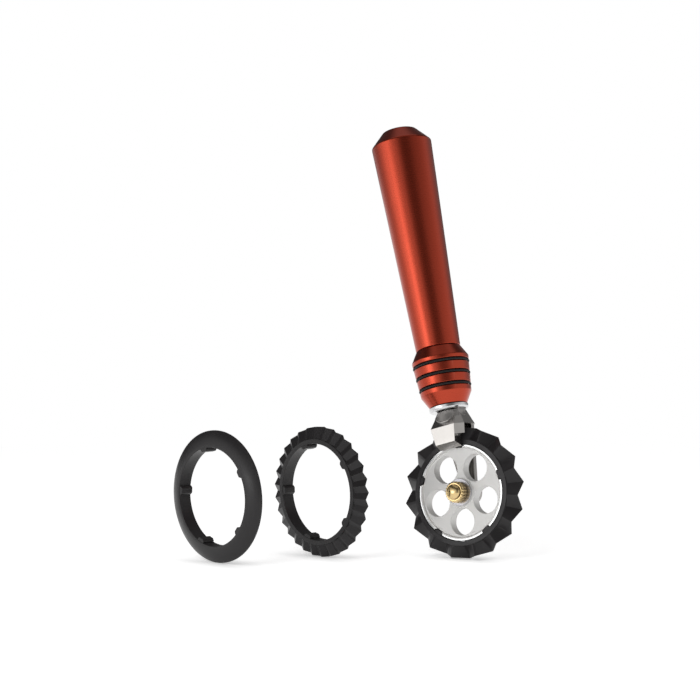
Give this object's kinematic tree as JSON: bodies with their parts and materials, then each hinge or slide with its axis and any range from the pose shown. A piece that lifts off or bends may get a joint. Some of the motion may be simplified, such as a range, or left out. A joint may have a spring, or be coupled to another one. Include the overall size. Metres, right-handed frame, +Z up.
{
  "type": "pasta cutting wheel",
  "caption": "Hand-held pasta cutting wheel: tapered red handle, plated fork, holed wheel on a knurled axle screw, zigzag cutter ring, and spare smooth and fine-toothed rings.",
  "frame": {"origin": "on the handle's axis, in the middle of the grip, where a hand holds the tool", "axes": "+Z up; the spare rings' axes lie along Y with their front faces towards -Y; the tool leans towards -X and its front faces -Y"},
  "size_m": [0.1279, 0.1198, 0.1998],
  "materials": {
    "red_anodised": "satin red anodised",
    "black_rubber": "matt",
    "polished_steel": "polished",
    "plated_casting": "polished plating",
    "turned_aluminium": "satin, with a polished rim",
    "black_nylon": "moulded, soft sheen",
    "brass": "polished, knurled",
    "bearing_plastic": "natural"
  },
  "bodies": {
    "tool": {"handle_grip": "red_anodised", "grip_collar": "red_anodised", "grip_ring_1": "black_rubber", "grip_ring_2": "black_rubber", "grip_ring_3": "black_rubber", "neck_flange": "polished_steel", "tie_stud": "polished_steel", "fork": "plated_casting", "arm_washer": "polished_steel"},
    "wheel": {"wheel_disc": "turned_aluminium", "hub_bush": "bearing_plastic", "zigzag_ring": "black_nylon"},
    "axle_washer": {"axle_washer": "polished_steel"},
    "axle_screw": {"axle_screw": "brass"},
    "smooth_ring": {"smooth_ring": "black_nylon"},
    "fine_ring": {"fine_ring": "black_nylon"}
  },
  "joints": [
    {"name": "wheel_spin", "type": "hinge", "parent": "tool", "child": "wheel", "pos_m": [0.03668, -0.00811, -0.11649], "axis": [0.1825, -0.9752, 0.1253], "continuous": true},
    {"name": "axle_back_out", "type": "slide", "parent": "tool", "child": "axle_washer", "axis": [0.1825, -0.9752, 0.1253], "range_m": [0, 0.0028]},
    {"name": "axle_screw_turn", "type": "hinge", "parent": "axle_washer", "child": "axle_screw", "pos_m": [0.03668, -0.00811, -0.11649], "axis": [0.1825, -0.9752, 0.1253], "range_deg": [0, 1440]},
    {"name": "smooth_ring_lift", "type": "slide", "parent": "tool", "child": "smooth_ring", "axis": [0, 0, 1], "range_m": [0, 0.06]},
    {"name": "fine_ring_lift", "type": "slide", "parent": "tool", "child": "fine_ring", "axis": [0, 0, 1], "range_m": [0, 0.06]}
  ]
}
